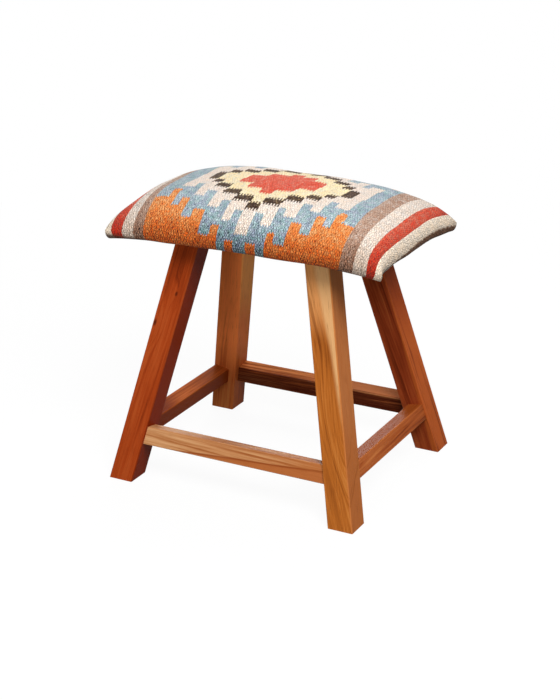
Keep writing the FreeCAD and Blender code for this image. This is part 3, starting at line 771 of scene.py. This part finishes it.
lining_finish, lining_shader, lining_place = new_finish("lining_cloth")
felt = noise(lining_place, 700, 3, 0.7)
lining_place.feed(lining_shader, {
    "Base Color": mixed(felt, dye(26, 26, 27), dye(52, 52, 53)),
    "Roughness": 0.9,
    "Normal": bumped(felt, 0.3 * MM, 0.5),
})
leg_middle = FOOT_X - LEAN_X * LINING_LEVEL, FOOT_Y - LEAN_Y * LINING_LEVEL
leg_half = [half + LEG_ROOM for half in LEG_HALF]
bm = bmesh.new()
bmesh.ops.create_grid(bm, x_segments=LINING_CELLS_X, y_segments=LINING_CELLS_Y, size=1)
for vert in bm.verts:
    vert.co = (vert.co.x * LINING_HALF_X, vert.co.y * LINING_HALF_Y, LINING_LEVEL)
for axis in (0, 1):
    face_places = (leg_middle[axis] - leg_half[axis], leg_middle[axis] + leg_half[axis])
    for cut_place in [side * face_place for side in (-1, 1) for face_place in face_places]:
        cut_at, cut_way = Vector((0, 0, 0)), Vector((0, 0, 0))
        cut_at[axis] = cut_place
        cut_way[axis] = 1
        everything = bm.verts[:] + bm.edges[:] + bm.faces[:]
        bmesh.ops.bisect_plane(bm, geom=everything, plane_co=cut_at, plane_no=cut_way)


def in_leg(place):
    """Whether a place lies where a leg comes through the lining."""
    return all(abs(abs(place[axis]) - leg_middle[axis]) < leg_half[axis] for axis in (0, 1))


gone = [face for face in bm.faces if in_leg(face.calc_center_median())]
bmesh.ops.delete(bm, geom=gone, context="FACES")
for vert in bm.verts:
    x, y = vert.co.x / LINING_HALF_X, vert.co.y / LINING_HALF_Y
    vert.co.z -= LINING_SAG * (1 - x ** SAG_POWER) * (1 - y ** SAG_POWER)
bmesh.ops.recalc_face_normals(bm, faces=bm.faces[:])
lining = new_piece("underside_cloth", bm, lining_finish)
thicken(lining, LINING_THICKNESS)
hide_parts("underside_lining")

# Staples
# A row of flat wire staples holds the hem and the lining to the board on every side.
# They are shot in close to the lining's edge and are of the same plated steel as the screws.

STAPLE_CROWN, STAPLE_LEG, STAPLE_WIRE = 10 * MM, 6 * MM, 1 * MM
STAPLE_SPACING = 33 * MM
STAPLE_INSET = 6 * MM


def staple(bm, middle, way):
    """A staple whose crown lies flat at its middle, along the way given, with its legs up."""
    half, wire = STAPLE_CROWN / 2, STAPLE_WIRE
    outline = [
        (-half, STAPLE_LEG), (-half, 0), (half, 0), (half, STAPLE_LEG),
        (half - wire, STAPLE_LEG), (half - wire, wire), (wire - half, wire), (wire - half, STAPLE_LEG),
    ]
    across = Vector((-way.y, way.x, 0)) * wire
    verts = [bm.verts.new(middle + way * along - across / 2 + Vector((0, 0, up))) for along, up in outline]
    face = bm.faces.new(verts)
    grown = bmesh.ops.extrude_face_region(bm, geom=[face])["geom"]
    for item in grown:
        if isinstance(item, bmesh.types.BMVert):
            item.co += across


bm = bmesh.new()
staple_level = LINING_LEVEL - LINING_THICKNESS - STAPLE_WIRE
for axis, half, reach in ((0, LINING_HALF_X, LINING_HALF_Y), (1, LINING_HALF_Y, LINING_HALF_X)):
    count = round(2 * (half - 2 * STAPLE_INSET) / STAPLE_SPACING)
    way = Vector((1 - axis, axis, 0))
    out = Vector((axis, 1 - axis, 0)) * (reach - STAPLE_INSET)
    for side in (-1, 1):
        for step in range(count + 1):
            along = (half - 2 * STAPLE_INSET) * (2 * step / count - 1)
            staple(bm, way * along + out * side + Vector((0, 0, staple_level)), way)
bmesh.ops.recalc_face_normals(bm, faces=bm.faces[:])
staples = new_piece("hem_staples", bm, zinc)
for polygon in staples.data.polygons:
    polygon.use_smooth = False

# Floor, light and camera
# The stool stands on a plain white floor in soft light from the front, seen from a little above.
# Its shadow fades out into white further off, and the sky is white too.

FLOOR_SHOWN_WHITE = 0.94
FLOOR_HALF = 6
SHADOW_NEAR_SQUARED, SHADOW_FAR_SQUARED = 0.4, 2.5
PURE_WHITE = (1, 1, 1, 1)


def seen_directly(place):
    """1 for what the camera sees, straight or in a reflection or through glass, and 0 for cast light."""
    path = place.node("ShaderNodeLightPath", {}, {}, "Is Camera Ray")
    outputs = path.socket.node.outputs
    others = [Shade(path.tree, outputs[name]) for name in ("Is Glossy Ray", "Is Transmission Ray")]
    return path + others[0] + others[1]


floor_finish, floor_shader, floor_place = new_finish("white_floor")
floor_tone = mixed(seen_directly(floor_place), dye(95, 95, 95), dye(255, 255, 255))
floor_place.feed(floor_shader, {"Base Color": floor_tone, "Roughness": 0.9, "Specular IOR Level": 0})
glow = floor_place.node("ShaderNodeEmission", {}, {"Color": PURE_WHITE, "Strength": 1})
floor_x, floor_y, _ = floor_place.parts()
far_off = rise(floor_x * floor_x + floor_y * floor_y, SHADOW_NEAR_SQUARED, SHADOW_FAR_SQUARED)
floor_mix = floor_place.node("ShaderNodeMixShader", {}, {
    0: seen_directly(floor_place) * (FLOOR_SHOWN_WHITE + far_off * (1 - FLOOR_SHOWN_WHITE)),
    1: Shade(floor_place.tree, floor_shader.outputs[0]),
    2: glow,
})
floor_place.feed(floor_finish.node_tree.nodes["Material Output"], {"Surface": floor_mix})
bm = bmesh.new()
bmesh.ops.create_grid(bm, x_segments=1, y_segments=1, size=FLOOR_HALF)
floor_mesh = bpy.data.meshes.new("floor")
bm.to_mesh(floor_mesh)
bm.free()
floor_mesh.materials.append(floor_finish)
floor = bpy.data.objects.new("floor", floor_mesh)
bpy.context.scene.collection.objects.link(floor)

AMBIENT = 0.16
world = bpy.data.worlds.new("soft_light")
world.use_nodes = True
bpy.context.scene.world = world
bpy.context.scene.view_settings.view_transform = "Standard"
sky = world.node_tree.nodes["Background"]
sky_place = Shade(world.node_tree, sky.outputs[0])
sky_place.feed(sky, {"Color": PURE_WHITE, "Strength": AMBIENT})
white_sky = sky_place.node("ShaderNodeBackground", {}, {"Color": PURE_WHITE, "Strength": 1})
sky_shares = {0: seen_directly(sky_place), 1: sky_place, 2: white_sky}
sky_mix = sky_place.node("ShaderNodeMixShader", {}, sky_shares)
sky_place.feed(world.node_tree.nodes["World Output"], {"Surface": sky_mix})

LAMP_AIM = Vector((0, 0, 300 * MM))


def soft_lamp(name, place, size, power):
    """A round soft lamp aimed at the stool."""
    lamp = bpy.data.lights.new(name, "AREA")
    lamp.shape = "DISK"
    lamp.size = size
    lamp.energy = power
    stand = bpy.data.objects.new(name, lamp)
    bpy.context.scene.collection.objects.link(stand)
    stand.location = place
    stand.rotation_euler = (LAMP_AIM - Vector(place)).to_track_quat("-Z", "Y").to_euler()


soft_lamp("key_light", (1.4, -1.35, 2.3), 1.5, 82)
soft_lamp("back_light", (-0.3, 1.4, 2.6), 1.6, 27)
soft_lamp("front_light", (0.1, -2.6, 0.4), 1.0, 22)
soft_lamp("right_light", (2.4, -0.6, 0.45), 1.0, 6)
soft_lamp("left_back_light", (-1.4, 2.3, 0.6), 1.2, 22)

CAMERA_TARGET = Vector((13.7, -29.6, 197.9)) * MM
AZIMUTH, ELEVATION, ROLL = (math.radians(angle) for angle in (28.205, 21.367, -0.481))
CAMERA_DISTANCE = 2.5017
SENSOR_HEIGHT, LENS = 36, 85.1
camera_lens = bpy.data.cameras.new("camera")
camera_lens.sensor_fit = "VERTICAL"
camera_lens.sensor_height = SENSOR_HEIGHT
camera_lens.lens = LENS
camera = bpy.data.objects.new("camera", camera_lens)
bpy.context.scene.collection.objects.link(camera)
bpy.context.scene.camera = camera
ahead = math.cos(ELEVATION)
backwards = Vector((math.sin(AZIMUTH) * ahead, -math.cos(AZIMUTH) * ahead, math.sin(ELEVATION)))
level_right = Vector((math.cos(AZIMUTH), math.sin(AZIMUTH), 0))
level_up = backwards.cross(level_right)
right = level_right * math.cos(ROLL) + level_up * math.sin(ROLL)
upright = level_up * math.cos(ROLL) - level_right * math.sin(ROLL)
turned = Matrix((right, upright, backwards)).transposed().to_4x4()
camera.matrix_world = Matrix.Translation(CAMERA_TARGET + backwards * CAMERA_DISTANCE) @ turned
